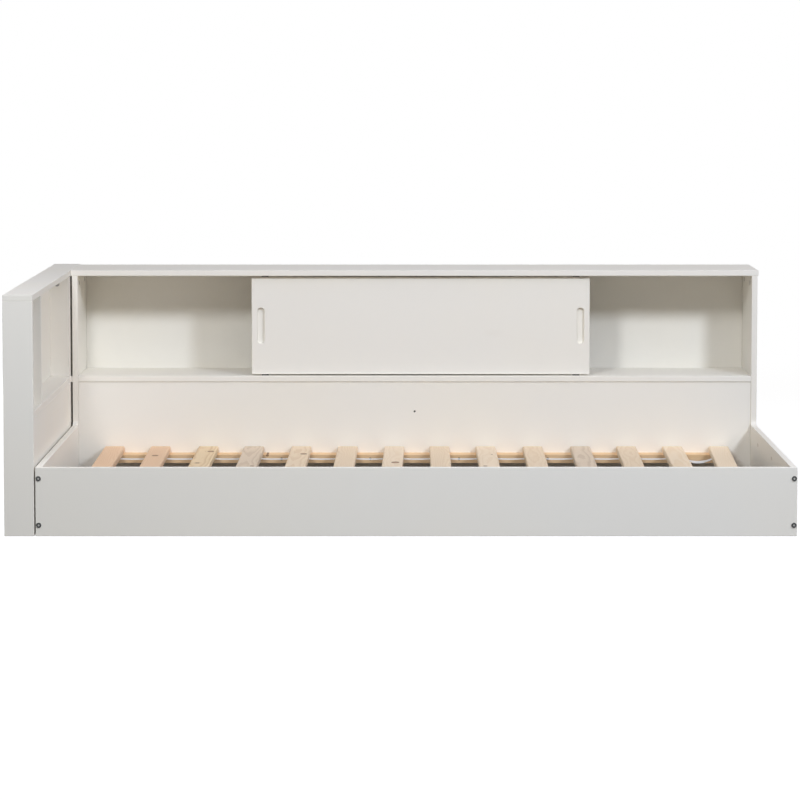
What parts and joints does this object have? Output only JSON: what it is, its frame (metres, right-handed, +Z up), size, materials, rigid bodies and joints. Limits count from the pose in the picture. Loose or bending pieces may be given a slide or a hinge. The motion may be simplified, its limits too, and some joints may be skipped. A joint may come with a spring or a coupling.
{
  "type": "corner bed",
  "caption": "Low single corner bed with a slatted base, a long low bookcase with a sliding door along one side and a narrow shelved headboard across one end.",
  "frame": {"origin": "middle of the whole bed's box, on the floor", "axes": "+X from the headboard towards the foot end, +Y from the open front towards the cabinet, +Z up"},
  "size_m": [2.1306, 1.2094, 0.65],
  "materials": {
    "painted_pine": "satin white paint over pine boards",
    "raw_pine": "planed, unfinished",
    "strap_webbing": "woven ribbon",
    "black_steel": "black satin",
    "zinc_steel": "zinc plated",
    "black_plastic": "moulded",
    "beech_dowel": "fluted dowel"
  },
  "bodies": {
    "bed": {"back_ledger_screws": "black_steel", "back_panel_screws": "black_steel", "back_slat_ledger": "raw_pine", "back_slat_strap": "strap_webbing", "bed_dowels": "beech_dowel", "cabinet_back_panel": "painted_pine", "cabinet_cam_studs": "zinc_steel", "cabinet_cams": "zinc_steel", "cabinet_centre_support": "painted_pine", "cabinet_centre_upright": "painted_pine", "cabinet_dowels": "beech_dowel", "cabinet_lower_panel": "painted_pine", "cabinet_rear_rail": "painted_pine", "cabinet_shelf": "painted_pine", "cabinet_top": "painted_pine", "centre_panel_screw": "black_steel", "corner_barrel_nuts": "zinc_steel", "corner_bolts": "black_steel", "corner_gap_strip": "painted_pine", "foot_end_board": "painted_pine", "front_ledger_screws": "black_steel", "front_panel": "painted_pine", "front_slat_ledger": "raw_pine", "front_slat_strap": "strap_webbing", "head_end_board": "painted_pine", "headboard_back_board": "painted_pine", "headboard_cam_studs": "zinc_steel", "headboard_cams": "zinc_steel", "headboard_dowels": "beech_dowel", "headboard_front_board": "painted_pine", "headboard_front_divider": "painted_pine", "headboard_link_bolts": "black_steel", "headboard_link_inserts": "zinc_steel", "headboard_link_spacers": "black_plastic", "headboard_lower_panel": "painted_pine", "headboard_niche_shelf": "painted_pine", "headboard_rear_board": "painted_pine", "headboard_rear_divider": "painted_pine", "headboard_top": "painted_pine", "slat_01": "raw_pine", "slat_02": "raw_pine", "slat_03": "raw_pine", "slat_04": "raw_pine", "slat_05": "raw_pine", "slat_06": "raw_pine", "slat_07": "raw_pine", "slat_08": "raw_pine", "slat_09": "raw_pine", "slat_10": "raw_pine", "slat_11": "raw_pine", "slat_12": "raw_pine", "slat_13": "raw_pine", "slat_14": "raw_pine", "strap_staples": "zinc_steel"},
    "door": {"sliding_door": "painted_pine", "door_lower_glides": "black_plastic", "door_upper_glides": "black_plastic"}
  },
  "joints": [
    {"name": "door_slide", "type": "slide", "parent": "bed", "child": "door", "axis": [1, 0, 0], "range_m": [-0.517, 0.481]}
  ]
}
